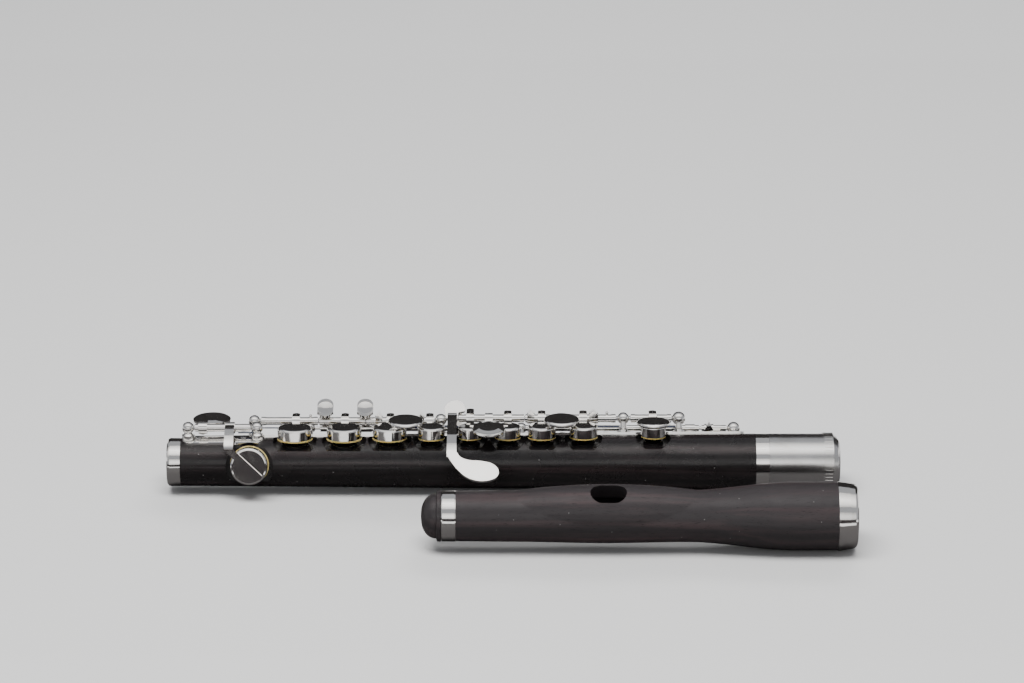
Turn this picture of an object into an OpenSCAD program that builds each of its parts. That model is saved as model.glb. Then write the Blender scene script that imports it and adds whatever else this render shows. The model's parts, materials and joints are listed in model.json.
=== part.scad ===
// Piccolo in two pieces: body joint with keywork behind, head joint in front.
// X runs from the foot end to the tenon, Y away from the player's fingers, Z up.
// Origin: centre of the bore at the foot end. All lengths in millimetres.

/* [Body joint] */
// Length of the body joint from the foot end to the tenon shoulder
body_len = 183.5; // [150:0.5:225]
// Radius of the wood at the foot end
foot_r = 7.35; // [6.8:0.05:8.2]
// Radius of the wood at the tenon end
top_r = 8.7; // [8.2:0.05:9.6]
// Radius of the bore at the foot end
foot_bore_r = 4.4; // [3.6:0.05:4.8]
// Radius of the bore at the tenon end
top_bore_r = 5.45; // [4.8:0.05:5.8]

/* [Tenon and cap] */
// Length of the tenon beyond the shoulder
tenon_len = 19.3; // [15:0.1:24]
// Outside radius of the tenon sleeve
tenon_r = 7.45; // [7:0.05:7.8]
// Gap between the tenon and what slides over it, on the radius
tenon_gap = 0.05; // [0.03:0.01:0.1]

/* [Head joint] */
// Length of the head joint
head_len = 129.2; // [107:0.1:156]
// Radius of the wood at the socket bulge
bulge_r = 10.2; // [9.6:0.05:11]
// Height of the lip crest above the head joint axis
lip_top = 9.6; // [8.8:0.05:10.6]
// Distance between the body joint axis and the head joint axis
head_offset = 43; // [38:0.5:60]
// Length of the embouchure hole along the head joint
blow_len = 10.8; // [9.5:0.1:12]
// Width of the embouchure hole across the head joint
blow_wid = 7.2; // [6.6:0.1:8.4]

/* [Keywork] */
// Radius of the steel rods
rod_r = 0.7; // [0.5:0.05:0.8]
// Radius of the key tubes
tube_r = 1.2; // [1.1:0.05:1.5]
// Running gap between a rod and its tube, on the radius
rod_gap = 0.04; // [0.03:0.01:0.08]
// Radius of the balls on the posts
ball_r = 1.85; // [1.7:0.05:2.1]
// Height of a key cup with its pad
cup_h = 4; // [3.2:0.05:4.8]
// Depth of each tone hole seat below the top of the wood
seat_drop = 1.25; // [1:0.05:1.5]
// Angle an open key stands above its seat, in degrees
key_open = 8; // [5:0.5:10]

/* [Hidden] */
$fn = 64;
ref_len = 183.5;
ring_w = 4.1;
ring_face = 1.2;
spigot_r = 6.5;
sleeve_t = 0.6;
body_ring_w = 4;
foot_bore_len = 10;
rib_t = 0.7;
rod_y = 8.6;
right_z = 9.9;
left_z = 10.8;
foot_y = 1;
foot_z = 10.9;
trill_y = 13;
trill_z = 5.64;
thumb_y = 12;
thumb_z = 2.4;
trill_tube_r = 0.95;
trill_rod_r = 0.45;
skin_h = 0.5;
cup_wall = 0.45;
plate_t = 1.5;
plate_lean = 4;
plate_gap = 0.3;
collar_r = 1.65;
collar_w = 2.4;
seat_edge = 0.8;
spot_extra = 0.9;
spot_shift = 0.6;
spot_deep = 0.7;
hole_part = 0.62;
shut_gap = 0.03;
tenon_end = body_len + tenon_len;
wood_end = body_len - body_ring_w;
grip_r = top_r + 0.3;
head_x = body_len - 105.3;
head_z = bulge_r + 0.1 - grip_r;
head_bore_r = 5.45;
stop_r = 5.4;
k = body_len / ref_len;
hk = head_len / 129.2;

// name, position along the body, angle round it, cup radius
D_SHARP = [25.3 * k, -75, 5.75];
D = [39.0 * k, 0, 5.25];
E = [54.0 * k, 0, 5.3];
F = [67.9 * k, 0, 5.15];
F_SHARP = [80.6 * k, 0, 4.15];
G_LOW = [92.4 * k, 0, 3.65];
G_UP = [103.9 * k, 0, 4.0];
A = [114.3 * k, 0, 4.3];
B_FLAT = [127.0 * k, 0, 4.3];
C = [148.3 * k, 0, 3.8];
G_SHARP = [88.5 * k, 95, 3.8];
THUMB_B = [133.0 * k, 90, 3.9];
THUMB_B_FLAT = [142.5 * k, 90, 3.3];
TRILL_D = [168.0 * k, 90, 3.0];
TRILL_D_SHARP = [160.0 * k, 90, 3.0];
CUPS = [D_SHARP, D, E, F, F_SHARP, G_LOW, G_UP, A, B_FLAT, C, G_SHARP, THUMB_B,
        THUMB_B_FLAT, TRILL_D, TRILL_D_SHARP];
TOP_CUPS = [D, E, F, F_SHARP, G_LOW, G_UP, A, B_FLAT, C];

foot_post_x = [6.4 * k, 27.4 * k];
right_post_x = [26.2 * k, 83.4 * k];
left_post_x = [139.3 * k, 156.3 * k];
trill_post_x = [43 * k, 108 * k, 173.4 * k];
thumb_post_x = [126.6 * k, 149.4 * k];

function wood_r(x) = foot_r + (top_r - foot_r) * (x - ring_w) / (wood_end - ring_w);
function bore_r(x) = foot_bore_r
    + (top_bore_r - foot_bore_r) * max(0, x - foot_bore_len) / (tenon_end - foot_bore_len);
function seat(c) = wood_r(c[0]) - seat_drop;
function cup_top(c) = seat(c) + shut_gap + cup_h;
function smooth(t) = t * t * (3 - 2 * t);
// one step of a smooth curve between b and c, and whole curves through listed points, open or closed
function bend(a, b, c, d, t) = 0.5 * (2 * b + (c - a) * t + (2 * a - 5 * b + 4 * c - d) * t * t
    + (3 * b - a - 3 * c + d) * t * t * t);
function curve(p, n = 4) = let (m = len(p)) concat(
    [for (i = [0 : m - 2], j = [0 : n - 1]) bend(p[max(i - 1, 0)], p[i], p[i + 1], p[min(i + 2, m - 1)], j / n)],
    [p[m - 1]]);
function outline(p, n = 3) = let (m = len(p))
    [for (i = [0 : m - 1], j = [0 : n - 1]) bend(p[(i + m - 1) % m], p[i], p[(i + 1) % m], p[(i + 2) % m], j / n)];

module cyl_x(x0, x1, r, y = 0, z = 0) {
    translate([x0, y, z]) rotate([0, 90, 0]) cylinder(h = x1 - x0, r = r);
}

module cone_x(x0, x1, r0, r1) {
    translate([x0, 0, 0]) rotate([0, 90, 0]) cylinder(h = x1 - x0, r1 = r0, r2 = r1, $fn = 96);
}

// the turned wood's outside, grown by a given thickness
module wood_solid(grow = 0) {
    cone_x(ring_w, wood_end, foot_r + grow, top_r + grow);
}

// puts +Z of the children along a radius at angle a, 0 being straight up
module at_radius(x, a) {
    translate([x, 0, 0]) rotate([-a, 0, 0]) children();
}

// ---------------------------------------------------------------- wood and rings

module tone_hole_cut(c) {
    hole_r = c[2] * hole_part;
    at_radius(c[0], c[1]) {
        difference() {
            translate([0, -spot_shift, seat(c) - spot_deep])
                cylinder(h = 12, r = c[2] + spot_extra + spot_shift);
            translate([0, 0, seat(c) - spot_deep - 1]) cylinder(h = spot_deep + 1, r = hole_r + seat_edge);
        }
        cylinder(h = 20, r = hole_r);
    }
}

module screw_shafts(grow = 0) {
    for (s = SCREWS) at_radius(s[0], s[1]) translate([0, 0, 4.7]) cylinder(h = 9, r = 0.35 + grow, $fn = 24);
}

module body_wood() {
    color([0.09, 0.07, 0.06]) difference() {
        union() {
            wood_solid();
            cyl_x(ring_face, ring_w, spigot_r);
            cyl_x(wood_end, tenon_end - 0.4, tenon_r - sleeve_t);
        }
        cyl_x(-1, foot_bore_len, foot_bore_r);
        cone_x(foot_bore_len, tenon_end + 1, foot_bore_r, bore_r(tenon_end + 1));
        for (c = CUPS) tone_hole_cut(c);
        intersection() {
            screw_shafts();
            cone_x(ring_w, wood_end, 20, 20);
        }
    }
}

module foot_ring() {
    color([0.82, 0.82, 0.84]) difference() {
        rotate([0, 90, 0]) rotate_extrude($fn = 96)
            polygon([[0, 0], [foot_r - 0.6, 0], [foot_r - 0.1, 0.4], [foot_r + 0.05, 0.9],
                     [foot_r + 0.05, ring_w - 0.5], [foot_r, ring_w], [0, ring_w]]);
        cyl_x(-1, ring_face + 0.1, foot_bore_r);
        cyl_x(ring_face, ring_w + 1, spigot_r);
    }
}

module body_ring() {
    color([0.82, 0.82, 0.84]) difference() {
        cyl_x(wood_end, body_len, top_r);
        cyl_x(wood_end - 1, body_len + 1, tenon_r - sleeve_t);
        cyl_x(body_len - 1.5, body_len + 1, tenon_r);
    }
}

module tenon_sleeve() {
    color([0.86, 0.86, 0.87]) difference() {
        cyl_x(body_len - 1.5, tenon_end, tenon_r);
        cyl_x(body_len - 2, tenon_end - 0.4, tenon_r - sleeve_t);
        cyl_x(body_len, tenon_end + 1, bore_r(tenon_end));
    }
}

module tenon_cap() {
    x0 = body_len + 0.05;
    grip0 = body_len + 16.7;
    grip1 = grip0 + 2.9;
    teeth = 48;
    inner = tenon_r + tenon_gap;
    color([0.78, 0.78, 0.78]) difference() {
        union() {
            cyl_x(x0, grip0 - 1.8, top_r);
            cyl_x(x0, grip0, top_r - 0.12);
            cyl_x(grip0 - 1.6, grip0, top_r);
            difference() {
                cyl_x(grip0, grip1, grip_r);
                for (i = [0 : teeth - 1]) rotate([360 * i / teeth, 0, 0])
                    translate([grip0 + 0.3, -0.16, grip_r - 0.16]) cube([2.3, 0.32, 1]);
            }
            cone_x(grip1, grip1 + 1.4, top_r, top_r - 1.2);
            translate([grip1 + 1.4, 0, 0]) rotate([0, 90, 0]) rotate_extrude($fn = 96)
                polygon([[0, 0], [top_r - 1.7, 0], [top_r - 1.8, 0.35], [top_r - 2.6, 0.7], [0, 1.0]]);
        }
        cyl_x(body_len - 1, tenon_end + 0.3, inner);
    }
}

// ---------------------------------------------------------------- ribs, posts, rods, springs

SCREWS = [[9.5 * k, 0], [23.3 * k, 0], [32.0 * k, 44], [46.5 * k, 44], [61.0 * k, 44], [76.0 * k, 44],
          [109.2 * k, 40], [120.6 * k, 40], [134.0 * k, 40], [161.0 * k, 40], [173.5 * k, 40]];

module strap(x0, x1, a, half) {
    difference() {
        intersection() {
            wood_solid(rib_t);
            at_radius(0, a) {
                translate([x0 + half, -half, 0]) cube([x1 - x0 - 2 * half, 2 * half, 15]);
                translate([x0 + half, 0, 0]) cylinder(h = 15, r = half);
                translate([x1 - half, 0, 0]) cylinder(h = 15, r = half);
            }
        }
        wood_solid();
        for (c = TOP_CUPS) translate([c[0], 0, 0]) cylinder(h = 20, r = c[2] + spot_extra);
        screw_shafts();
    }
}

module foot_rib() {
    color([0.8, 0.8, 0.82]) difference() {
        strap(4.6 * k, 29.6 * k, -3, 2.6);
        at_radius(D_SHARP[0], D_SHARP[1]) cylinder(h = 20, r = D_SHARP[2] + spot_extra);
    }
}

module right_rib() {
    color([0.8, 0.8, 0.82]) strap(23.6 * k, 87.5 * k, 41, 2.2);
}

module left_rib() {
    color([0.8, 0.8, 0.82]) strap(88.1 * k, 176.5 * k, 40, 2.25);
}

module rib_screws() {
    color([0.7, 0.7, 0.72]) {
        for (s = SCREWS) {
            intersection() {
                difference() {
                    at_radius(s[0], s[1]) translate([0, 0, 4]) cylinder(h = 9, r = 0.85, $fn = 32);
                    wood_solid(rib_t);
                    at_radius(s[0], s[1]) translate([-1, -0.12, wood_r(s[0]) + rib_t + 0.18]) cube([2, 0.24, 3]);
                }
                wood_solid(rib_t + 0.35);
            }
        }
        intersection() {
            screw_shafts();
            wood_solid(rib_t);
        }
    }
}

// a ball post standing on the wood or on a rib, bored for its rod
module post(x, y, z, base, r_ball, bore, r_foot = 1.9) {
    a = atan2(y, z);
    d = sqrt(y * y + z * z);
    foot = wood_r(x) + base;
    difference() {
        at_radius(x, a) {
            translate([0, 0, foot - 1.5]) cylinder(h = 2.1, r = r_foot, $fn = 48);
            translate([0, 0, foot + 0.6]) cylinder(h = 0.7, r1 = r_foot - 0.15, r2 = 1.06, $fn = 48);
            translate([0, 0, foot]) cylinder(h = d - foot, r = 1.05, $fn = 48);
            translate([0, 0, d]) sphere(r = r_ball, $fn = 48);
        }
        wood_solid(base);
        cyl_x(x - 4, x + 4, bore, y, z);
    }
}

module foot_posts() {
    color([0.84, 0.84, 0.86]) for (x = foot_post_x) post(x, foot_y, foot_z, rib_t, ball_r, rod_r);
}

module right_posts() {
    color([0.84, 0.84, 0.86]) {
        post(right_post_x[0], rod_y, right_z, rib_t, ball_r, rod_r);
        difference() {
            post(right_post_x[1], rod_y, (right_z + left_z) / 2, rib_t, ball_r, 0.1);
            cyl_x(right_post_x[1] - 4, right_post_x[1] - 0.05, rod_r, rod_y, right_z);
            cyl_x(right_post_x[1] + 0.05, right_post_x[1] + 4, rod_r, rod_y, left_z);
        }
    }
}

module left_posts() {
    color([0.84, 0.84, 0.86]) {
        post(left_post_x[0], rod_y, left_z, rib_t, ball_r, rod_r);
        post(left_post_x[1], rod_y, left_z, rib_t, ball_r + 0.25, rod_r);
    }
}

module trill_posts() {
    color([0.84, 0.84, 0.86]) {
        post(trill_post_x[0], trill_y, trill_z, 0, ball_r - 0.2, trill_rod_r + rod_gap, 1.25);
        post(trill_post_x[1], trill_y, trill_z, 0, ball_r - 0.1, trill_tube_r + rod_gap, 1.25);
        post(trill_post_x[2], trill_y, trill_z, 0, ball_r + 0.15, trill_rod_r + rod_gap, 1.25);
    }
}

module thumb_posts() {
    color([0.84, 0.84, 0.86]) for (x = thumb_post_x) post(x, thumb_y, thumb_z, 0, ball_r - 0.35, rod_r);
}

// a steel rod with a slotted head at its far end
module rod(x0, x1, y, z) {
    difference() {
        cyl_x(x0, x1, rod_r, y, z);
        translate([x1 - 0.35, y - 1, z - 0.1]) cube([1, 2, 0.2]);
    }
}

module foot_rod() {
    color([0.6, 0.6, 0.62]) rod(foot_post_x[0] - 1.6, foot_post_x[1] + 1.6, foot_y, foot_z);
}

module right_rod() {
    color([0.6, 0.6, 0.62]) rod(right_post_x[0] - 1.6, right_post_x[1] - 0.05, rod_y, right_z);
}

module left_rod() {
    color([0.6, 0.6, 0.62]) rod(right_post_x[1] + 0.05, left_post_x[0] - 0.05, rod_y, left_z);
}

module c_rod() {
    color([0.6, 0.6, 0.62]) rod(left_post_x[0] + 0.05, left_post_x[1] + 1.6, rod_y, left_z);
}

module thumb_rod() {
    color([0.6, 0.6, 0.62]) rod(thumb_post_x[0] - 1.2, thumb_post_x[1] + 1.2, thumb_y, thumb_z);
}

// needle springs lie close under the key tubes, each starting at a post
SPRINGS = [[27.2, 37.0, 7.9, 7.9], [82.4, 72.0, 7.9, 7.9], [138.2, 124.0, 7.9, 8.3], [155.3, 150.6, 7.9, 8.3],
           [84.4, 96.0, 7.9, 8.3], [26.15, 21.6, 0.9, 9.3]];

module springs() {
    color([0.25, 0.27, 0.33]) for (s = SPRINGS)
        cyl_x(min(s[0], s[1]) * k, max(s[0], s[1]) * k, 0.2, s[2], s[3], $fn = 20);
}

// ---------------------------------------------------------------- key parts

module cup(c) {
    r = c[2];
    at_radius(c[0], c[1]) translate([0, 0, seat(c) + shut_gap]) rotate_extrude()
        polygon([[0, cup_h - 0.6], [r - cup_wall, cup_h - 0.6], [r - cup_wall, skin_h], [r - 0.05, skin_h],
                 [r, skin_h + 0.1], [r, cup_h - 0.75], [r - 0.06, cup_h - 0.45], [r - 0.22, cup_h - 0.2],
                 [r - 0.45, cup_h - 0.06], [r - 0.75, cup_h], [0, cup_h]]);
}

module pad(c) {
    r = c[2];
    at_radius(c[0], c[1]) translate([0, 0, seat(c) + shut_gap]) rotate_extrude()
        polygon([[0, 0], [r - 0.7, 0], [r - 0.35, 0.12], [r - 0.2, 0.35], [r - 0.25, skin_h],
                 [r - cup_wall, skin_h], [r - cup_wall, cup_h - 0.6], [0, cup_h - 0.6]]);
}

module tube(x0, x1, y, z, r = tube_r) {
    cyl_x(x0 * k, x1 * k, r, y, z);
}

module collar(x, y, z, w = collar_w, r = collar_r) {
    cyl_x(x * k - w / 2, x * k + w / 2, r, y, z);
}

// arm from a cup's back edge to its tube, ridged on top, with a pointed root and a rounded tail
module cup_arm(c, z, w = 2.3, long = 2.0) {
    x = c[0];
    top = cup_top(c);
    y0 = c[2] - cup_wall + 0.1;
    low = top - 1.5;
    translate([x - w / 2, 0, 0]) rotate([90, 0, 90]) linear_extrude(w)
        polygon([[y0, low], [rod_y, z - 1.0], [rod_y, z + 0.9], [rod_y - 1.5, z + 0.35], [y0, top - 0.35]]);
    collar(x / k, rod_y, z);
    tail(x, z, 2.3, long);
}

module tail(x, z, w = 2.3, long = 2.0) {
    translate([x - w / 2, rod_y - 0.9, z + 0.8]) cube([w, 0.9 + long, 0.9]);
    translate([x, rod_y + long, z + 0.8]) cylinder(h = 0.9, r = w / 2);
    intersection() {
        translate([x, rod_y + 0.9, z - 1]) linear_extrude(4) polygon([[-w / 2, -4.2], [w / 2, -4.2], [0, 0]]);
        translate([x - w, 0, 0]) rotate([90, 0, 90]) linear_extrude(2 * w)
            polygon([[rod_y - 2.9, z - 0.4], [rod_y + 0.9, z + 1.9], [rod_y + 0.9, z], [rod_y - 2.9, z - 1.0]]);
    }
}

// short clutch arm that stands over the next key's tube
module point(x, z, w = 2.2) {
    collar(x, rod_y, z, w);
    translate([x * k, 0, 0]) intersection() {
        translate([-w / 2, rod_y - 1.6, z]) cube([w, 3.6, 2.7]);
        translate([0, rod_y + 3, z]) rotate([90, 0, 0]) linear_extrude(6)
            polygon([[-w / 2, 0], [w / 2, 0], [w / 2, 1.4], [0, 2.6], [-w / 2, 1.4]]);
    }
}

// small pin on a tube that its needle spring bears on
module stud(x, y, z) {
    translate([x * k, y, z]) cylinder(h = tube_r + 0.5, r = 0.35, $fn = 24);
    translate([x * k, y, z + tube_r + 0.5]) sphere(r = 0.45, $fn = 24);
}

module plate_disc(r) {
    rotate_extrude() polygon([[0, 0], [r - 1.0, 0], [r - 0.45, 0.2], [r - 0.1, 0.5], [r, plate_t * 0.55],
        [r - 0.08, plate_t - 0.35], [r - 0.3, plate_t - 0.1], [r - 0.6, plate_t], [0, plate_t]]);
}

module bored(y, z, r = rod_r) {
    difference() {
        children();
        cyl_x(-5, body_len + 20, r + rod_gap, y, z);
    }
}

// key shown standing open at rest
module open_at(y, z, a) {
    translate([0, y, z]) rotate([a, 0, 0]) translate([0, -y, -z]) children();
}

module simple_key(c, x0, x1, z) {
    bored(rod_y, z) {
        tube(x0, x1, rod_y, z);
        cup(c);
        cup_arm(c, z);
        collar(x0 + 0.7, rod_y, z, 1.2 * k, tube_r + 0.12);
        collar(x1 - 0.7, rod_y, z, 1.2 * k, tube_r + 0.12);
    }
}

module d_key() {
    color([0.85, 0.85, 0.87]) open_at(rod_y, right_z, -key_open) bored(rod_y, right_z) {
        simple_key(D, 28.3, 45.7, right_z);
        stud(43.4, rod_y, right_z);
    }
}

module d_pad() {
    color([0.86, 0.78, 0.5]) open_at(rod_y, right_z, -key_open) pad(D);
}

module e_key() {
    color([0.85, 0.85, 0.87]) open_at(rod_y, right_z, -key_open) simple_key(E, 46.1, 60.1, right_z);
}

module e_pad() {
    color([0.86, 0.78, 0.5]) open_at(rod_y, right_z, -key_open) pad(E);
}

// finger plate over two cups: its arm drops to the tube behind
module finger_plate(x, y, r, bottom, z) {
    translate([x * k, y, bottom]) translate([0, -r, 0]) rotate([plate_lean, 0, 0]) translate([0, r, 0]) plate_disc(r);
    translate([x * k - 1.3, 0, 0]) rotate([90, 0, 90]) linear_extrude(2.6)
        polygon([[y + r - 1.2, bottom], [rod_y - 0.4, z - 0.8], [rod_y + 0.6, z + 1.0],
                 [rod_y - 1.2, max(bottom + 0.8, z + 0.9)], [y + r - 1.0, bottom + plate_t - 0.15]]);
    collar(x, rod_y, z);
}

module f_key() {
    bottom = cup_top(F_SHARP) + plate_gap;
    color([0.85, 0.85, 0.87]) open_at(rod_y, right_z, -key_open) bored(rod_y, right_z) {
        simple_key(F, 60.5, 75.4, right_z);
        finger_plate(72.8, -0.5, 5.4, bottom, right_z);
        translate([71.2 * k, 0, cup_top(F) - 0.5]) cylinder(h = bottom - cup_top(F) + 0.8, r = 1.1);
        point(64.4, right_z);
    }
}

module f_pad() {
    color([0.86, 0.78, 0.5]) open_at(rod_y, right_z, -key_open) pad(F);
}

module f_sharp_key() {
    color([0.85, 0.85, 0.87]) open_at(rod_y, right_z, -key_open) bored(rod_y, right_z) {
        tube(75.8, 81.2, rod_y, right_z);
        cup(F_SHARP);
        cup_arm([F_SHARP[0] - 0.6, 0, F_SHARP[2]], right_z, 1.6);
        point(77.2, right_z);
    }
}

module f_sharp_pad() {
    color([0.86, 0.78, 0.5]) open_at(rod_y, right_z, -key_open) pad(F_SHARP);
}

module g_key() {
    bottom = cup_top(G_UP) + plate_gap;
    color([0.85, 0.85, 0.87]) open_at(rod_y, left_z, -key_open) bored(rod_y, left_z) {
        tube(88.9, 108.9, rod_y, left_z);
        cup(G_LOW);
        cup(G_UP);
        cup_arm(G_LOW, left_z, 2.3, 4.2);
        cup_arm(G_UP, left_z);
        difference() {
            union() {
                // bar joining the two cups under the offset plate
                translate([G_LOW[0], -0.6, cup_top(G_LOW) - 0.7]) cube([G_UP[0] - G_LOW[0], 2.4, 1.0]);
                translate([98.1 * k, -4.0, bottom - 1.25]) rotate([11, 0, 0]) {
                    plate_disc(5.05);
                    translate([0, 0, plate_t - 0.01]) cylinder(h = 0.4, r1 = 4.4, r2 = 3.2);
                }
                translate([98.1 * k, -1.4, cup_top(G_UP) - 1.1]) cylinder(h = 1.5, r = 1.6);
                translate([98.1 * k - 1.2, 0.6, cup_top(G_UP) - 0.9]) cube([2.4, 8.0, 1.1]);
            }
            for (c = [G_LOW, G_UP]) translate([c[0], 0, 0]) cylinder(h = cup_top(c) - 0.3, r = c[2] - 0.2);
        }
        collar(98.1, rod_y, left_z);
    }
}

module g_pads() {
    color([0.86, 0.78, 0.5]) open_at(rod_y, left_z, -key_open) {
        pad(G_LOW);
        pad(G_UP);
    }
}

module a_key() {
    bottom = max(cup_top(A), cup_top(B_FLAT)) + plate_gap;
    color([0.85, 0.85, 0.87]) open_at(rod_y, left_z, -key_open) bored(rod_y, left_z) {
        simple_key(A, 109.3, 122.4, left_z);
        finger_plate(120.3, -0.4, 5.45, bottom, left_z);
        translate([117.4 * k, 0, cup_top(A) - 0.5]) cylinder(h = bottom - cup_top(A) + 0.8, r = 1.0);
        point(111.0, left_z);
    }
}

module a_pad() {
    color([0.86, 0.78, 0.5]) open_at(rod_y, left_z, -key_open) pad(A);
}

module b_flat_key() {
    color([0.85, 0.85, 0.87]) open_at(rod_y, left_z, -key_open) bored(rod_y, left_z) {
        simple_key(B_FLAT, 122.8, 137.0, left_z);
        stud(134.3, rod_y, left_z);
        point(130.2, left_z, 2.8);
    }
}

module b_flat_pad() {
    color([0.86, 0.78, 0.5]) open_at(rod_y, left_z, -key_open) pad(B_FLAT);
}

module c_key() {
    color([0.85, 0.85, 0.87]) open_at(rod_y, left_z, -key_open) bored(rod_y, left_z) {
        simple_key(C, 141.6, 154.0, left_z);
        translate([C[0], -0.3, cup_top(C) - 0.35]) plate_disc(5.15);
        translate([C[0] - 1.3, 3.6, cup_top(C) - 0.6]) cube([2.6, 3.4, 1.3]);
    }
}

module c_pad() {
    color([0.86, 0.78, 0.5]) open_at(rod_y, left_z, -key_open) pad(C);
}

// ---------------------------------------------------------------- side levers

// point in the plane of the D sharp cup's face: out from the face, up along it
function face(out, up) = let (p = cup_top(D_SHARP) + out, a = D_SHARP[1])
    [p * sin(a) + up * cos(a), p * cos(a) - up * sin(a)];

module d_sharp_key() {
    x_arm = 19.2;
    tx = 13.1 * k;
    color([0.85, 0.85, 0.87]) bored(foot_y, foot_z) {
        tube(8.5, 25.3, foot_y, foot_z);
        collar(10.9, foot_y, foot_z, 2.6, 1.8);
        collar(x_arm, foot_y, foot_z, 3.0, 1.75);
        cup(D_SHARP);
        // flat arm over the top of the wood and across the cup
        translate([x_arm * k - 1.4, 0, 0]) rotate([90, 0, 90]) linear_extrude(2.8)
            polygon(concat(
                curve([[foot_y, foot_z + 1.4], [-1.4, foot_z + 1.35], [-4.2, foot_z + 0.8], [-6.7, foot_z - 0.4],
                       [-8.3, foot_z - 1.6], face(0.66, 5.7)]),
                [face(0.66, 4.3), face(-0.33, 4.3), face(-0.33, 5.7)],
                curve([[-7.4, foot_z - 2.0], [-6.0, foot_z - 1.2], [-3.8, foot_z - 0.2], [-1.2, foot_z + 0.3],
                       [foot_y, foot_z + 0.3]])));
        at_radius(D_SHARP[0], D_SHARP[1]) translate([0, 0, cup_top(D_SHARP) - 0.2]) linear_extrude(0.95)
            polygon([[x_arm * k - D_SHARP[0] - 1.33, 5.5], [x_arm * k - D_SHARP[0] - 1.33, 4.9],
                     [2.5, -3.8], [3.2, -4.0], [3.9, -3.5], [4.0, -2.7], [x_arm * k - D_SHARP[0] + 1.33, 5.5]]);
        // touch at the back
        translate([tx, foot_y + 9.0, foot_z - 1.4]) difference() {
            intersection() {
                scale([1.3, 1, 1]) cylinder(h = 1.5, r = 4.45);
                translate([0, 0, -16.3]) sphere(r = 17.8, $fn = 96);
            }
            translate([0, 0, 18.6]) sphere(r = 17.6, $fn = 96);
        }
        translate([10.9 * k - 1.2, foot_y + 0.5, foot_z - 1.2]) cube([2.4, 6.5, 1.1]);
        translate([10.7 * k, foot_y + 1.2, foot_z - 1.4]) sphere(r = 1.3, $fn = 32);
    }
}

module d_sharp_pad() {
    color([0.86, 0.78, 0.5]) pad(D_SHARP);
}

module g_sharp_key() {
    gx = 86.9 * k;
    w = 2.9;
    color([0.85, 0.85, 0.87]) bored(rod_y, left_z) {
        tube(85.5, 88.5, rod_y, left_z);
        collar(86.9, rod_y, left_z, 2.8, 1.75);
        // lever over the top and down the near side
        translate([gx - w / 2, 0, 0]) rotate([90, 0, 90]) linear_extrude(w)
            polygon(concat(
                curve([[rod_y, left_z + 1.6], [rod_y - 3, left_z + 1.35], [2.5, left_z + 0.9], [-1.5, left_z + 0.4],
                       [-5.0, left_z - 0.1], [-8.0, left_z - 1.1], [-10.3, left_z - 2.4], [-12.0, left_z - 3.9]]),
                curve([[-11.3, left_z - 4.7], [-9.6, left_z - 3.5], [-7.4, left_z - 2.2], [-4.7, left_z - 1.2],
                       [-1.4, left_z - 0.7], [2.5, left_z - 0.3], [rod_y, left_z - 0.3]])));
        // teardrop touch
        translate([gx, -11.3, left_z - 3.7]) rotate([38, 0, 0]) translate([0, 0, -0.55]) linear_extrude(1.1)
            polygon(outline([[-w / 2 + 0.1, 1.2], [w / 2 - 0.1, 1.0], [2.6, -0.8], [5.2, -1.9], [8.8, -2.2],
                     [11.8, -2.9], [13.6, -4.2], [14.3, -5.9], [13.8, -7.5], [12.2, -8.6], [9.6, -9.1],
                     [7.0, -8.8], [4.4, -7.6], [2.0, -5.4], [0.1, -2.8], [-1.2, -0.4]]));
        // leaf-shaped bridge behind the rod
        translate([gx, rod_y, left_z]) rotate([35, 0, 0]) linear_extrude(1.0)
            polygon(outline([[-1.4, -0.8], [-2.2, 1.6], [-2.3, 3.4], [-1.2, 5.0], [0.6, 5.9], [2.6, 5.4],
                     [3.7, 3.8], [3.8, 2.1], [1.9, 1.5], [1.5, -0.9]], 4));
        // arm down to the far cup
        translate([G_SHARP[0] - 1.3, 0, 0]) rotate([90, 0, 90]) linear_extrude(2.6)
            polygon([[rod_y + 2.1, left_z + 1.9], [rod_y + 3.0, left_z + 1.5], [cup_top(G_SHARP) + 0.7, -0.6],
                     [cup_top(G_SHARP) + 0.5, -3.0], [cup_top(G_SHARP) - 0.4, -3.0], [cup_top(G_SHARP) - 0.4, 0]]);
        cup(G_SHARP);
    }
}

module g_sharp_pad() {
    color([0.86, 0.78, 0.5]) pad(G_SHARP);
}

// a thumb key: far-side cup, its arm from the rod above, and an oblong plate over it
module thumb_key(c, x0, x1, half) {
    top = cup_top(c);
    bored(thumb_y, thumb_z) {
        tube(x0, x1, thumb_y, thumb_z, 1.0);
        cup(c);
        translate([c[0] - 1.3, 0, 0]) rotate([90, 0, 90]) linear_extrude(2.6)
            polygon([[top - 0.3, thumb_z - 0.6], [thumb_y, thumb_z + 0.9], [thumb_y + 0.7, thumb_z],
                     [top + 1.2, -0.8], [top - 0.3, -0.8]]);
        translate([c[0], top - 0.1, -3.4]) rotate([-90, 0, 0]) linear_extrude(1.1) {
            square([2 * half, 2 * half - 1.2], center = true);
            for (s = [-1, 1]) translate([0, s * 0.4 * half]) circle(r = half);
        }
    }
}

module thumb_b_key() {
    color([0.85, 0.85, 0.87]) open_at(thumb_y, thumb_z, key_open) thumb_key(THUMB_B, 128.3, 137.6, 3.2);
}

module thumb_b_pad() {
    color([0.86, 0.78, 0.5]) open_at(thumb_y, thumb_z, key_open) pad(THUMB_B);
}

module thumb_b_flat_key() {
    color([0.85, 0.85, 0.87]) open_at(thumb_y, thumb_z, key_open) thumb_key(THUMB_B_FLAT, 138.0, 147.6, 3.0);
}

module thumb_b_flat_pad() {
    color([0.86, 0.78, 0.5]) open_at(thumb_y, thumb_z, key_open) pad(THUMB_B_FLAT);
}

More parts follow.
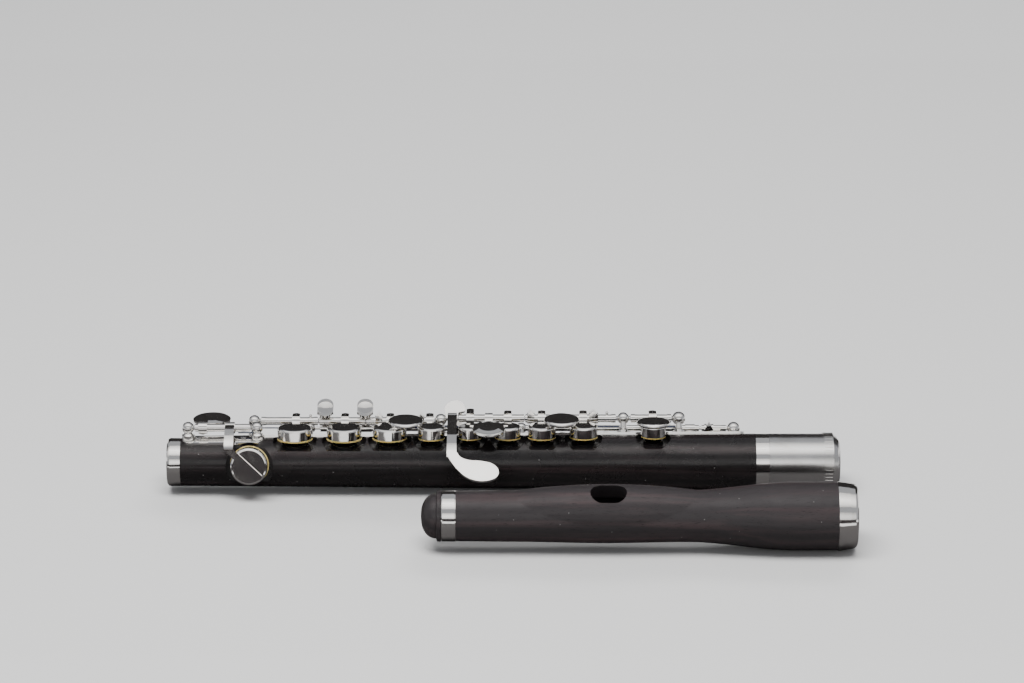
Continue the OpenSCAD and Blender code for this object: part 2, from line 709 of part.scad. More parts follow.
// trill touch: rises behind the right-hand rod and leans over it towards the fingers
module trill_touch(x) {
    w = 4.9;
    translate([x * k, 12.2, 15.1]) rotate([25.2, 0, 0]) difference() {
        translate([0, 0, -0.5]) linear_extrude(1.0) {
            translate([-w / 2, -5.2]) square([w, 3.2]);
            translate([0, -2.0]) circle(r = w / 2);
            translate([0, -4.6]) circle(r = w / 2 - 0.3);
        }
        translate([0, -3.2, 14.9]) sphere(r = 14.6, $fn = 72);
    }
    translate([x * k - 1.2, 0, 0]) rotate([90, 0, 90]) linear_extrude(2.4)
        polygon([[trill_y - 0.8, trill_z], [trill_y + 0.9, trill_z], [trill_y + 1.2, trill_z + 5],
                 [trill_y - 0.9, trill_z + 9.5], [trill_y - 3.2, trill_z + 8.6], [trill_y - 0.4, trill_z + 5]]);
}

module trill_arm(c) {
    top = cup_top(c);
    cup(c);
    translate([c[0] - 1.3, 0, 0]) rotate([90, 0, 90]) linear_extrude(2.6)
        polygon([[trill_y - 0.9, trill_z + 0.4], [trill_y + 0.2, trill_z + 1.0], [trill_y + 0.8, trill_z - 0.6],
                 [top + 1.0, -1.4], [top - 0.3, -1.4], [top - 0.3, 1.6]]);
}

module trill_d_key() {
    color([0.85, 0.85, 0.87]) {
        cyl_x(trill_post_x[0] - 1.4, trill_post_x[2] + 1.5, trill_rod_r, trill_y, trill_z);
        collar(48.0, trill_y, trill_z, 3.6, trill_tube_r + 0.15);
        trill_touch(48.0);
        collar(167.4, trill_y, trill_z, 7.6, trill_tube_r);
        collar(165.8, trill_y, trill_z, 2.8, trill_tube_r + 0.35);
        trill_arm(TRILL_D);
        translate([165.8 * k, trill_y - 0.9, trill_z]) rotate([90, 0, 0]) translate([0, 0, -1.4]) linear_extrude(2.2)
            polygon([[-1.4, 0], [1.4, 0], [0, 2.9]]);
    }
}

module trill_d_pad() {
    color([0.86, 0.78, 0.5]) pad(TRILL_D);
}

module trill_d_sharp_key() {
    color([0.85, 0.85, 0.87]) bored(trill_y, trill_z, trill_rod_r) {
        tube(57.0, 162.8, trill_y, trill_z, trill_tube_r);
        collar(60.2, trill_y, trill_z, 3.6, trill_tube_r + 0.25);
        trill_touch(60.2);
        collar(160.0, trill_y, trill_z, 3.0, trill_tube_r + 0.25);
        trill_arm(TRILL_D_SHARP);
    }
}

module trill_d_sharp_pad() {
    color([0.86, 0.78, 0.5]) pad(TRILL_D_SHARP);
}

// ---------------------------------------------------------------- head joint

crown_w = 6.0;
crown_ring_w = 4.2;
head_ring_w = 5.8;
liner_t = 0.7;
socket_r = tenon_r + tenon_gap;
socket_deep = tenon_len + 1.7;
wood_u0 = crown_w + 0.1 + crown_ring_w;
wood_u1 = head_len - head_ring_w;
lip_u = 55.5 * hk;
lip_shift = 1.5;
blow_tilt = 18;
lip_half = 28 * hk;
HEAD = [[wood_u0, 7.5], [27 * hk, 7.6], [55 * hk, 8.05], [79 * hk, 7.7], [111 * hk, bulge_r], [wood_u1, bulge_r - 0.05]];

// radius of the turned head at u, easing from one listed station to the next
function head_r(u, i = 0) = u <= HEAD[i + 1][0] || i == 4
    ? HEAD[i][1] + (HEAD[i + 1][1] - HEAD[i][1]) * smooth((u - HEAD[i][0]) / (HEAD[i + 1][0] - HEAD[i][0]))
    : head_r(u, i + 1);

module at_head() {
    translate([head_x, -head_offset, head_z]) rotate([0, 90, 0]) children();
}

module head_cyl(u0, u1, r) {
    translate([0, 0, u0]) cylinder(h = u1 - u0, r = r, $fn = 96);
}

module head_wood() {
    n = 48;
    m = 24;
    color([0.12, 0.09, 0.08]) at_head() difference() {
        union() {
            rotate_extrude($fn = 96) polygon(concat([[0, wood_u0]],
                [for (i = [0 : n]) let (u = wood_u0 + (wood_u1 - wood_u0) * i / n) [head_r(u), u]],
                [[0, wood_u1]]));
            translate([-lip_shift, 0, lip_u]) rotate_extrude($fn = 96) polygon(concat([[0, -lip_half]],
                [for (i = [0 : m]) let (t = -1 + 2 * i / m) [lip_top - lip_shift - 1.95 * t * t, t * lip_half]],
                [[0, lip_half]]));
            head_cyl(crown_w + 1.3, wood_u0 + 1, 6.6);
            head_cyl(wood_u1 - 1, head_len - 0.8, socket_r + liner_t + 0.6);
        }
        head_cyl(0, head_len, head_bore_r);
        head_cyl(head_len - socket_deep, head_len + 1, socket_r + liner_t);
        translate([0, 0, lip_u]) rotate([0, -90, 0]) rotate([blow_tilt, 0, 0]) blow_hole();
    }
}

// rounded-oval hole, long axis along the head joint
module blow_hole() {
    r = blow_wid / 2;
    s = blow_len / 2 - r;
    translate([-s, 0, 0]) cylinder(h = 14, r = r);
    translate([s, 0, 0]) cylinder(h = 14, r = r);
    translate([-s, -r, 0]) cube([2 * s, 2 * r, 14]);
}

module head_ring() {
    color([0.84, 0.84, 0.86]) at_head() difference() {
        translate([0, 0, wood_u1]) rotate_extrude($fn = 96)
            polygon([[0, 0], [bulge_r, 0], [bulge_r + 0.1, 0.4], [bulge_r, 1.2], [bulge_r - 0.3, 3.4],
                     [bulge_r - 0.6, 4.9], [bulge_r - 1.0, 5.5], [bulge_r - 1.5, head_ring_w], [0, head_ring_w]]);
        head_cyl(wood_u1 - 1, head_len - 0.8, socket_r + liner_t + 0.6);
        head_cyl(wood_u1, head_len + 1, socket_r);
    }
}

module socket_liner() {
    color([0.84, 0.84, 0.86]) at_head() difference() {
        head_cyl(head_len - socket_deep, head_len - 0.8, socket_r + liner_t);
        head_cyl(head_len - socket_deep + 0.8, head_len, socket_r);
        head_cyl(head_len - socket_deep - 1, head_len, head_bore_r);
    }
}

module crown_ring() {
    color([0.84, 0.84, 0.86]) at_head() difference() {
        translate([0, 0, crown_w + 0.1]) rotate_extrude($fn = 96)
            polygon([[0, 0], [7.4, 0], [7.55, 0.3], [7.6, crown_ring_w - 0.4], [7.5, crown_ring_w], [0, crown_ring_w]]);
        head_cyl(crown_w + 1.3, wood_u0 + 1, 6.6);
        head_cyl(0, head_len, head_bore_r);
    }
}

module crown() {
    color([0.1, 0.08, 0.07]) at_head() difference() {
        union() {
            rotate_extrude($fn = 96) polygon(concat(
                [for (i = [0 : 12]) let (a = 7.5 * i) [6.7 * pow(sin(a), 0.8), 4.5 * (1 - cos(a))]],
                [[7.2, 4.6], [7.55, 4.9], [7.6, crown_w - 0.4], [7.5, crown_w], [0, crown_w]]));
            head_cyl(crown_w - 0.5, crown_w + 5, head_bore_r - 0.35);
        }
        head_cyl(2.4, crown_w + 6, 1.56);
    }
}

stop_u = lip_u - 7.5;

module stopper_screw() {
    color([0.76, 0.68, 0.42]) at_head() head_cyl(4.4, stop_u, 1.5);
}

module stopper_cork() {
    color([0.72, 0.55, 0.36]) at_head() difference() {
        head_cyl(stop_u - 9, stop_u, stop_r);
        head_cyl(stop_u - 12, stop_u + 1, 1.5);
    }
}

module stopper_plates() {
    color([0.8, 0.8, 0.82]) at_head() {
        head_cyl(stop_u, stop_u + 1, stop_r);
        difference() {
            head_cyl(stop_u - 10, stop_u - 9, stop_r);
            head_cyl(stop_u - 12, stop_u, 1.5);
        }
    }
}

body_wood();
foot_ring();
body_ring();
tenon_sleeve();
tenon_cap();
foot_rib();
right_rib();
left_rib();
rib_screws();
foot_posts();
right_posts();
left_posts();
trill_posts();
thumb_posts();
foot_rod();
right_rod();
left_rod();
c_rod();
thumb_rod();
springs();
d_sharp_key();
d_sharp_pad();
d_key();
d_pad();
e_key();
e_pad();
f_key();
f_pad();
f_sharp_key();
f_sharp_pad();
g_sharp_key();
g_sharp_pad();
g_key();
g_pads();
a_key();
a_pad();
b_flat_key();
b_flat_pad();
c_key();
c_pad();
thumb_b_key();
thumb_b_pad();
thumb_b_flat_key();
thumb_b_flat_pad();
trill_d_key();
trill_d_pad();
trill_d_sharp_key();
trill_d_sharp_pad();
head_wood();
head_ring();
crown_ring();
socket_liner();
crown();
stopper_screw();
stopper_cork();
stopper_plates();
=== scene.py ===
"""Finishes, pads and studio for a two-piece wooden piccolo, laid out as an add-on."""
import json
import math

import bpy
from mathutils import Matrix, Vector


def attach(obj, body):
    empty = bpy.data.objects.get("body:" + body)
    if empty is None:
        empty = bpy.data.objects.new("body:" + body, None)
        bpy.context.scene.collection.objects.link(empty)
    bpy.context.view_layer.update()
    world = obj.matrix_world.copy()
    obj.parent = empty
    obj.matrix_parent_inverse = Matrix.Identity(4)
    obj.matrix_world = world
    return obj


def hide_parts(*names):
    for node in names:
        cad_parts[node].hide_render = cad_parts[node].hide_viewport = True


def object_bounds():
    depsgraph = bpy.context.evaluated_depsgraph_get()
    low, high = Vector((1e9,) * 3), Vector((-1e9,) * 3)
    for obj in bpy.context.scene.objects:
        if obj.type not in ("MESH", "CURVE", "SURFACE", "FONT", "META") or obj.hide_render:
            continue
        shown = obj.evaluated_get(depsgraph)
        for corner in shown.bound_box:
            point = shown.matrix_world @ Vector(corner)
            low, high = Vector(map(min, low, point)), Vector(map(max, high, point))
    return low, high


bl_info = {
    "name": "Piccolo finish",
    "version": (1, 0, 0),
    "blender": (4, 5, 0),
    "location": "3D View > Sidebar > Piccolo",
    "description": "Dresses a packed two-piece piccolo: wood, silver, pads and a plain studio",
    "category": "Object",
}

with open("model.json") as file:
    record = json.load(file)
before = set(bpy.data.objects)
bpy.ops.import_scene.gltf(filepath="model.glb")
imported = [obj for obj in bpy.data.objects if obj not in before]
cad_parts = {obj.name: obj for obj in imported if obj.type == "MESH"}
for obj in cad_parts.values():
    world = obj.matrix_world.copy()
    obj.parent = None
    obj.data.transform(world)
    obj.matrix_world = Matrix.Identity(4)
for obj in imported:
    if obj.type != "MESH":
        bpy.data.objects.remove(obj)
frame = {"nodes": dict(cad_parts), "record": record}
NODES = frame["nodes"]
RECORD = frame["record"]
CAD_BOX = [list(map(float, c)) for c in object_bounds()]
FLOOR_Z = CAD_BOX[0][2]
BODY_OF = {n: b for b, ns in RECORD["behaviour"]["bodies"].items() for n in ns}
SLOT_OF = {p["node"]: p["material_slot"] for p in RECORD["subparts"]}

# metres
SKIN_CLEAR = 0.00005  # a shut pad stays this far off its seat
NEAR = 0.000005  # points closer than this count as level
LIGHT_AIM = Vector((0.1, 0, 0))
AIM_X = 0.1052  # the camera aims at the middle of the body joint
AIM_UP = 0.0368  # and this far above it in the picture
FLOOR_SIZE = 8
FLOOR_DROP = 0.00002  # the floor's clearance under the part

SENSOR_MM = 36.0
LENS_MM = 149.45
AIR_TONE = (0.93, 0.95, 1.0, 1)
AIR_LEVEL = 0.42

# name, place, turn in degrees about x, width, height, tone, glow
CARDS = (
    ("back_flag", (0.1, 0.42, 0.19), 90, 1.5, 0.40, (0.012, 0.011, 0.011), 0.0),
    ("front_flag", (0.1, -0.55, 0.035), 90, 1.5, 0.13, (0.03, 0.026, 0.027), 0.0),
    ("under_flag", (0.1, -0.035, FLOOR_Z + 0.0002), 0, 0.42, 0.16, (0.055, 0.052, 0.052), 0.0),
    ("top_glow", (0.1, -0.30, 0.95), -18, 2.6, 1.1, (0.6, 0.6, 0.6), 1.75),
    ("front_glow", (0.1, -1.40, 0.55), 68, 2.4, 0.75, (0.6, 0.6, 0.6), 1.3),
)

# name, place, width, height, watts
SOFTBOXES = (
    ("key_softbox", (0.02, -0.25, 0.9), 0.9, 0.42, 17),
    ("front_softbox", (0.15, -1.35, 0.52), 2.0, 0.62, 3.6),
    ("back_softbox", (0.35, 0.8, 0.8), 0.8, 0.3, 6),
)

MIRROR = [n for n, s in SLOT_OF.items() if s == "polished_silver"]
PADS = [n for n, s in SLOT_OF.items() if s == "pad_skin"]


# ---------------------------------------------------------------- what a user may change

class PICCOLO_PG_sizes(bpy.types.PropertyGroup):
    skin_round: bpy.props.FloatProperty(
        name="Skin rounding", description="Radius where the pad's skin turns round its felt",
        default=0.00034, min=0.0001, max=0.0006, subtype="DISTANCE", unit="LENGTH")
    skin_in: bpy.props.FloatProperty(
        name="Skin set in", description="How far the skin stands inside the cup's edge",
        default=0.00014, min=0.00002, max=0.0003, subtype="DISTANCE", unit="LENGTH")
    seat_mark: bpy.props.FloatProperty(
        name="Seat mark", description="Depth of the ring a tone hole presses into its pad",
        default=0.00005, min=0.0, max=0.0002, subtype="DISTANCE", unit="LENGTH")
    camera_tilt: bpy.props.FloatProperty(
        name="Camera tilt", description="How far the camera looks down",
        default=math.radians(22), min=0.0, max=1.5, subtype="ANGLE", unit="ROTATION")
    camera_far: bpy.props.FloatProperty(
        name="Camera distance", description="Distance from the camera to the body joint",
        default=1.3, min=0.3, max=5.0, subtype="DISTANCE", unit="LENGTH")


class PICCOLO_PG_colours(bpy.types.PropertyGroup):
    wood: bpy.props.FloatVectorProperty(
        name="Body wood", description="Ground colour of the oiled body joint", subtype="COLOR",
        size=3, min=0, max=1, default=(0.0062, 0.0052, 0.0054))
    head: bpy.props.FloatVectorProperty(
        name="Head wood", description="Ground colour of the drier head joint", subtype="COLOR",
        size=3, min=0, max=1, default=(0.022, 0.019, 0.020))
    streak: bpy.props.FloatVectorProperty(
        name="Streaks", description="Brown-violet streaks in the dark wood", subtype="COLOR",
        size=3, min=0, max=1, default=(0.046, 0.030, 0.031))
    silver: bpy.props.FloatVectorProperty(
        name="Silver", description="Polished silver", subtype="COLOR",
        size=3, min=0, max=1, default=(0.93, 0.915, 0.89))
    tarnish: bpy.props.FloatVectorProperty(
        name="Tarnish", description="Faint warm film on the silver", subtype="COLOR",
        size=3, min=0, max=1, default=(0.80, 0.74, 0.64))
    skin: bpy.props.FloatVectorProperty(
        name="Pad skin", description="Thin yellow skin of the pads", subtype="COLOR",
        size=3, min=0, max=1, default=(0.80, 0.66, 0.26))
    floor: bpy.props.FloatVectorProperty(
        name="Floor", description="Plain pale studio floor", subtype="COLOR",
        size=3, min=0, max=1, default=(0.60, 0.597, 0.59))


def sizes():
    return bpy.context.scene.piccolo_sizes


def colours():
    return bpy.context.scene.piccolo_colours


# ---------------------------------------------------------------- shader helpers

def new_node(tree, kind, **values):
    """Adds a node; names given in values are its settings or its sockets' defaults."""
    node = tree.nodes.new(kind)
    for name, value in values.items():
        if name.startswith("in_"):
            key = name[3:]
            sock = node.inputs[int(key)] if key.isdigit() else node.inputs[key.replace("_", " ")]
            sock.default_value = value
        else:
            setattr(node, name, value)
    return node


def new_group(name, inputs, outputs):
    """An empty shader group with named float or colour sockets."""
    tree = bpy.data.node_groups.new(name, "ShaderNodeTree")
    for label, kind, default in inputs:
        sock = tree.interface.new_socket(label, in_out="INPUT", socket_type=kind)
        sock.default_value = default
    for label, kind in outputs:
        tree.interface.new_socket(label, in_out="OUTPUT", socket_type=kind)
    return tree, tree.nodes.new("NodeGroupInput"), tree.nodes.new("NodeGroupOutput")


def ramp(tree, low, high):
    """A black-to-white ramp between two values."""
    node = tree.nodes.new("ShaderNodeValToRGB")
    node.color_ramp.elements[0].position = low
    node.color_ramp.elements[1].position = high
    node.color_ramp.interpolation = "EASE"
    return node


def streak_group():
    """Streaks and open pores running along the length of turned wood."""
    tree, gin, gout = new_group(
        "long_grain",
        [("Streak Width", "NodeSocketFloat", 300.0), ("Pore Density", "NodeSocketFloat", 0.62)],
        [("Streaks", "NodeSocketFloat"), ("Pores", "NodeSocketFloat"), ("Height", "NodeSocketFloat")])
    link = tree.links.new
    coord = tree.nodes.new("ShaderNodeTexCoord")
    wide = new_node(tree, "ShaderNodeMapping", in_Scale=(0.035, 1.0, 1.0))
    link(coord.outputs["Object"], wide.inputs["Vector"])
    broad = new_node(tree, "ShaderNodeTexNoise", in_Detail=5.0, in_Roughness=0.62, in_Distortion=0.35)
    link(wide.outputs[0], broad.inputs["Vector"])
    link(gin.outputs["Streak Width"], broad.inputs["Scale"])
    tone = ramp(tree, 0.46, 0.74)
    link(broad.outputs["Fac"], tone.inputs[0])
    fine = new_node(tree, "ShaderNodeMapping", in_Scale=(0.09, 1.0, 1.0))
    link(coord.outputs["Object"], fine.inputs["Vector"])
    dots = new_node(tree, "ShaderNodeTexNoise", in_Scale=5200.0, in_Detail=2.0, in_Roughness=0.5)
    link(fine.outputs[0], dots.inputs["Vector"])
    dense = new_node(tree, "ShaderNodeMath", operation="SUBTRACT")
    link(dots.outputs["Fac"], dense.inputs[0])
    link(gin.outputs["Pore Density"], dense.inputs[1])
    sharp = new_node(tree, "ShaderNodeMath", operation="MULTIPLY", use_clamp=True, in_1=14.0)
    link(dense.outputs[0], sharp.inputs[0])
    fibres = new_node(tree, "ShaderNodeTexNoise", in_Scale=2600.0, in_Detail=3.0)
    link(fine.outputs[0], fibres.inputs["Vector"])
    height = new_node(tree, "ShaderNodeMath", operation="MULTIPLY_ADD", in_1=-1.0)
    link(sharp.outputs[0], height.inputs[0])
    link(fibres.outputs["Fac"], height.inputs[2])
    link(tone.outputs[0], gout.inputs["Streaks"])
    link(sharp.outputs[0], gout.inputs["Pores"])
    link(height.outputs[0], gout.inputs["Height"])
    return tree


def handling_group():
    """Smudges, wipe marks and fine dust that handling leaves on a polished surface."""
    tree, gin, gout = new_group(
        "handling",
        [("Size", "NodeSocketFloat", 160.0), ("Seed", "NodeSocketFloat", 0.0)],
        [("Smudge", "NodeSocketFloat"), ("Wipe", "NodeSocketFloat"), ("Dust", "NodeSocketFloat")])
    link = tree.links.new
    coord = tree.nodes.new("ShaderNodeTexCoord")
    shift = new_node(tree, "ShaderNodeVectorMath", operation="ADD")
    seed = tree.nodes.new("ShaderNodeCombineXYZ")
    link(gin.outputs["Seed"], seed.inputs[0])
    link(coord.outputs["Object"], shift.inputs[0])
    link(seed.outputs[0], shift.inputs[1])
    blot = new_node(tree, "ShaderNodeTexNoise", in_Detail=4.0, in_Roughness=0.6, in_Distortion=0.8)
    link(shift.outputs[0], blot.inputs["Vector"])
    link(gin.outputs["Size"], blot.inputs["Scale"])
    spread = ramp(tree, 0.42, 0.72)
    link(blot.outputs["Fac"], spread.inputs[0])
    turn = new_node(tree, "ShaderNodeMapping", in_Rotation=(0.3, 0.5, 0.7), in_Scale=(0.12, 1.0, 1.0))
    link(shift.outputs[0], turn.inputs["Vector"])
    rub = new_node(tree, "ShaderNodeTexNoise", in_Scale=3400.0, in_Detail=2.0)
    link(turn.outputs[0], rub.inputs["Vector"])
    specks = new_node(tree, "ShaderNodeTexVoronoi", in_Scale=330.0, in_Randomness=1.0)
    link(shift.outputs[0], specks.inputs["Vector"])
    small = new_node(tree, "ShaderNodeMath", operation="LESS_THAN", in_1=0.045)
    link(specks.outputs["Distance"], small.inputs[0])
    link(spread.outputs[0], gout.inputs["Smudge"])
    link(rub.outputs["Fac"], gout.inputs["Wipe"])
    link(small.outputs[0], gout.inputs["Dust"])
    return tree


GROUPS = {}


def group(tree, name, **values):
    """Places a shared group in a material with its own values."""
    if name not in GROUPS:
        GROUPS[name] = {"long_grain": streak_group, "handling": handling_group}[name]()
    node = tree.nodes.new("ShaderNodeGroup")
    node.node_tree = GROUPS[name]
    for key, value in values.items():
        node.inputs[key.replace("_", " ")].default_value = value
    return node


def blank(name, **shader):
    """A material with a Principled shader; constants sit on its own sockets."""
    mat = bpy.data.materials.new(name)
    mat.use_nodes = True
    bsdf = mat.node_tree.nodes["Principled BSDF"]
    for key, value in shader.items():
        bsdf.inputs[key.replace("_", " ")].default_value = value
    return mat, mat.node_tree, bsdf


def two_tone(tree, mask, low, high):
    """Mixes two colours by a mask and returns the colour socket."""
    mix = new_node(tree, "ShaderNodeMix", data_type="RGBA")
    mix.inputs["A"].default_value = (*low, 1.0)
    mix.inputs["B"].default_value = (*high, 1.0)
    tree.links.new(mask, mix.inputs["Factor"])
    return mix.outputs["Result"]


def spread_value(tree, mask, low, high):
    """Maps a 0 to 1 mask onto a span of values."""
    node = new_node(tree, "ShaderNodeMapRange", in_To_Min=low, in_To_Max=high)
    tree.links.new(mask, node.inputs["Value"])
    return node.outputs["Result"]


def bump(tree, height, depth, bsdf):
    """Height in metres of relief onto the shader's normal."""
    node = new_node(tree, "ShaderNodeBump", in_Strength=1.0, in_Distance=depth)
    tree.links.new(height, node.inputs["Height"])
    tree.links.new(node.outputs[0], bsdf.inputs["Normal"])


def grenadilla(name, ground, streak, rough, coat, streak_share, seed):
    """Dark turned hardwood: streaks, pores, a little dust, polished or dry."""
    mat, tree, bsdf = blank(name, Coat_Roughness=0.16, Coat_IOR=1.4, Specular_IOR_Level=0.32)
    bsdf.inputs["Coat Weight"].default_value = coat
    link = tree.links.new
    grain = group(tree, "long_grain")
    marks = group(tree, "handling", Size=90.0, Seed=seed)
    share = new_node(tree, "ShaderNodeMath", operation="MULTIPLY", in_1=streak_share)
    link(grain.outputs["Streaks"], share.inputs[0])
    tone = two_tone(tree, share.outputs[0], ground, streak)
    dark = new_node(tree, "ShaderNodeMix", data_type="RGBA")
    dark.inputs["B"].default_value = (ground[0] * 0.4, ground[1] * 0.4, ground[2] * 0.4, 1)
    link(grain.outputs["Pores"], dark.inputs["Factor"])
    link(tone, dark.inputs["A"])
    dusty = new_node(tree, "ShaderNodeMix", data_type="RGBA")
    dusty.inputs["B"].default_value = (0.34, 0.33, 0.32, 1)
    faint = new_node(tree, "ShaderNodeMath", operation="MULTIPLY", in_1=0.5)
    link(marks.outputs["Dust"], faint.inputs[0])
    link(faint.outputs[0], dusty.inputs["Factor"])
    link(dark.outputs["Result"], dusty.inputs["A"])
    link(dusty.outputs["Result"], bsdf.inputs["Base Color"])
    link(spread_value(tree, marks.outputs["Smudge"], rough - 0.05, rough + 0.09), bsdf.inputs["Roughness"])
    bump(tree, grain.outputs["Height"], 0.000012, bsdf)
    return mat


def mirror_silver(name, seed):
    """Hand-polished silver with a faint film, smudges and wipe lines."""
    c = colours()
    mat, tree, bsdf = blank(name, Metallic=1.0)
    link = tree.links.new
    marks = group(tree, "handling", Size=260.0, Seed=seed)
    film = new_node(tree, "ShaderNodeMath", operation="MULTIPLY", in_1=0.10)
    link(marks.outputs["Smudge"], film.inputs[0])
    link(two_tone(tree, film.outputs[0], tuple(c.silver), tuple(c.tarnish)), bsdf.inputs["Base Color"])
    both = new_node(tree, "ShaderNodeMath", operation="MULTIPLY_ADD", in_1=0.35)
    link(marks.outputs["Wipe"], both.inputs[0])
    link(marks.outputs["Smudge"], both.inputs[2])
    link(spread_value(tree, both.outputs[0], 0.05, 0.11), bsdf.inputs["Roughness"])
    coord = tree.nodes.new("ShaderNodeTexCoord")
    sway = new_node(tree, "ShaderNodeTexNoise", in_Scale=110.0, in_Detail=1.0)
    link(coord.outputs["Object"], sway.inputs["Vector"])
    total = new_node(tree, "ShaderNodeMath", operation="MULTIPLY_ADD", in_1=0.016)
    link(marks.outputs["Wipe"], total.inputs[0])
    link(sway.outputs["Fac"], total.inputs[2])
    bump(tree, total.outputs[0], 0.0001, bsdf)
    return mat


def satin_silver(name):
    """Silver left with the fine rings of the lathe."""
    mat, tree, bsdf = blank(name, Metallic=1.0)
    link = tree.links.new
    coord = tree.nodes.new("ShaderNodeTexCoord")
    along = new_node(tree, "ShaderNodeMapping", in_Scale=(1.0, 0.02, 0.02))
    link(coord.outputs["Object"], along.inputs["Vector"])
    rings = new_node(tree, "ShaderNodeTexNoise", in_Scale=5200.0, in_Detail=3.0, in_Roughness=0.6)
    link(along.outputs[0], rings.inputs["Vector"])
    cross = new_node(tree, "ShaderNodeTexNoise", in_Scale=3000.0, in_Detail=2.0)
    link(coord.outputs["Object"], cross.inputs["Vector"])
    marks = group(tree, "handling", Size=120.0, Seed=4.0)
    link(two_tone(tree, marks.outputs["Smudge"], (0.80, 0.79, 0.78), (0.70, 0.69, 0.67)),
         bsdf.inputs["Base Color"])
    link(spread_value(tree, rings.outputs["Fac"], 0.16, 0.30), bsdf.inputs["Roughness"])
    total = new_node(tree, "ShaderNodeMath", operation="MULTIPLY_ADD", in_1=0.5)
    link(cross.outputs["Fac"], total.inputs[0])
    link(rings.outputs["Fac"], total.inputs[2])
    bump(tree, total.outputs[0], 0.000006, bsdf)
    return mat


def plain_metal(name, low, high, rough_low, rough_high, seed):
    """Turned steel or brass: tone and gloss wander a little along its length."""
    mat, tree, bsdf = blank(name, Metallic=1.0)
    link = tree.links.new
    marks = group(tree, "handling", Size=700.0, Seed=seed)
    link(two_tone(tree, marks.outputs["Smudge"], low, high), bsdf.inputs["Base Color"])
    link(spread_value(tree, marks.outputs["Wipe"], rough_low, rough_high), bsdf.inputs["Roughness"])
    bump(tree, marks.outputs["Wipe"], 0.000003, bsdf)
    return mat


def cork_finish(name):
    """Natural cork: mottled grains with dark flecks."""
    mat, tree, bsdf = blank(name)
    link = tree.links.new
    coord = tree.nodes.new("ShaderNodeTexCoord")
    cells = new_node(tree, "ShaderNodeTexVoronoi", in_Scale=900.0)
    link(coord.outputs["Object"], cells.inputs["Vector"])
    flecks = new_node(tree, "ShaderNodeTexNoise", in_Scale=1500.0, in_Detail=4.0)
    link(coord.outputs["Object"], flecks.inputs["Vector"])
    tone = two_tone(tree, cells.outputs["Distance"], (0.44, 0.25, 0.12), (0.62, 0.42, 0.23))
    spots = ramp(tree, 0.60, 0.68)
    link(flecks.outputs["Fac"], spots.inputs[0])
    dark = new_node(tree, "ShaderNodeMix", data_type="RGBA")
    dark.inputs["B"].default_value = (0.16, 0.08, 0.04, 1)
    link(spots.outputs[0], dark.inputs["Factor"])
    link(tone, dark.inputs["A"])
    link(dark.outputs["Result"], bsdf.inputs["Base Color"])
    link(spread_value(tree, flecks.outputs["Fac"], 0.6, 0.85), bsdf.inputs["Roughness"])
    bump(tree, cells.outputs["Distance"], 0.00005, bsdf)
    return mat


def skin_finish(name):
    """Thin yellow skin over white felt, with creases and a waxy gloss."""
    mat, tree, bsdf = blank(name, Coat_Roughness=0.3, Subsurface_Weight=0.15, Subsurface_Scale=0.0006)
    bsdf.inputs["Coat Weight"].default_value = 0.25
    link = tree.links.new
    coord = tree.nodes.new("ShaderNodeTexCoord")
    mottle = new_node(tree, "ShaderNodeTexNoise", in_Scale=650.0, in_Detail=5.0, in_Roughness=0.65)
    link(coord.outputs["Object"], mottle.inputs["Vector"])
    crease = new_node(tree, "ShaderNodeTexNoise", in_Scale=2600.0, in_Detail=3.0, in_Distortion=1.4)
    link(coord.outputs["Object"], crease.inputs["Vector"])
    skin = tuple(colours().skin)
    pale = tuple(min(1.0, v * 1.15 + 0.06) for v in skin)
    link(two_tone(tree, mottle.outputs["Fac"], pale, tuple(v * 0.82 for v in skin)),
         bsdf.inputs["Base Color"])
    link(spread_value(tree, mottle.outputs["Fac"], 0.34, 0.55), bsdf.inputs["Roughness"])
    bump(tree, crease.outputs["Fac"], 0.00002, bsdf)
    return mat


# ---------------------------------------------------------------- piece helpers

def deselect():
    """Object mode with nothing selected, as every modelling step needs."""
    if bpy.context.object and bpy.context.object.mode != "OBJECT":
        bpy.ops.object.mode_set(mode="OBJECT")
    bpy.ops.object.select_all(action="DESELECT")


def paint(node, mat):
    """Gives a carried-over node its material in every slot."""
    mesh = NODES[node].data
    if not mesh.materials:
        mesh.materials.append(mat)
    for i in range(len(NODES[node].material_slots)):
        NODES[node].material_slots[i].material = mat


def pick(obj, test):
    """In edit mode, selects the faces whose centre and normal pass the test."""
    bpy.ops.mesh.select_mode(type="FACE")
    bpy.ops.mesh.select_all(action="DESELECT")
    bpy.ops.object.mode_set(mode="OBJECT")
    for face in obj.data.polygons:
        face.select = test(face.center, face.normal)
    bpy.ops.object.mode_set(mode="EDIT")


